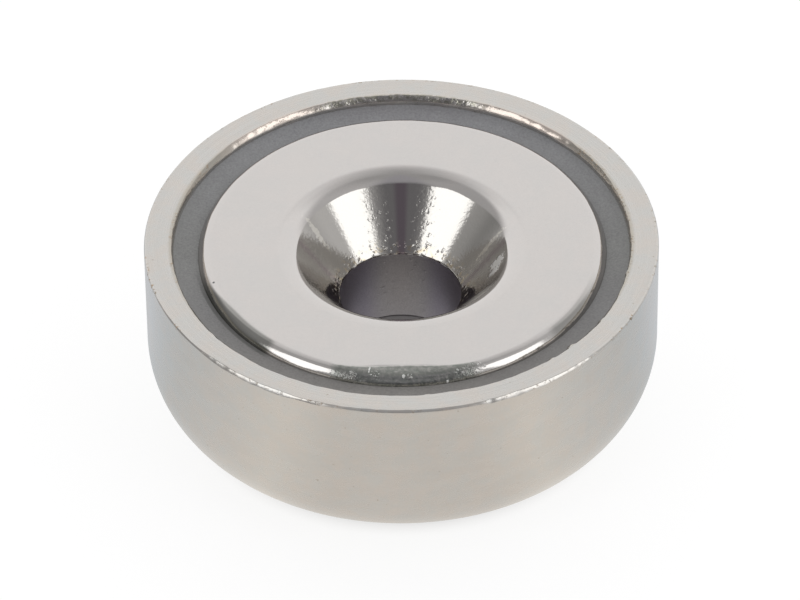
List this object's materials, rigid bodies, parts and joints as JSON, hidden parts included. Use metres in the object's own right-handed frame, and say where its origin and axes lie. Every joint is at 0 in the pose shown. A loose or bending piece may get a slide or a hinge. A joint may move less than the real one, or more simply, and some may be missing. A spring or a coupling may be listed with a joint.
{
  "type": "pot magnet",
  "caption": "Round steel cup holding a countersunk ring magnet set in resin; a flat-head screw through the hole fixes it to a surface.",
  "frame": {"origin": "centre of the cup's base, where the part stands", "axes": "+Z along the screw hole, out of the cup's mouth and the holding face"},
  "size_m": [0.02, 0.02, 0.0074],
  "materials": {
    "cup_nickel": "satin",
    "magnet_nickel": "polished",
    "resin": "matte"
  },
  "bodies": {
    "root": {"steel_cup": "cup_nickel", "ring_magnet": "magnet_nickel", "resin_fill": "resin"}
  },
  "joints": []
}
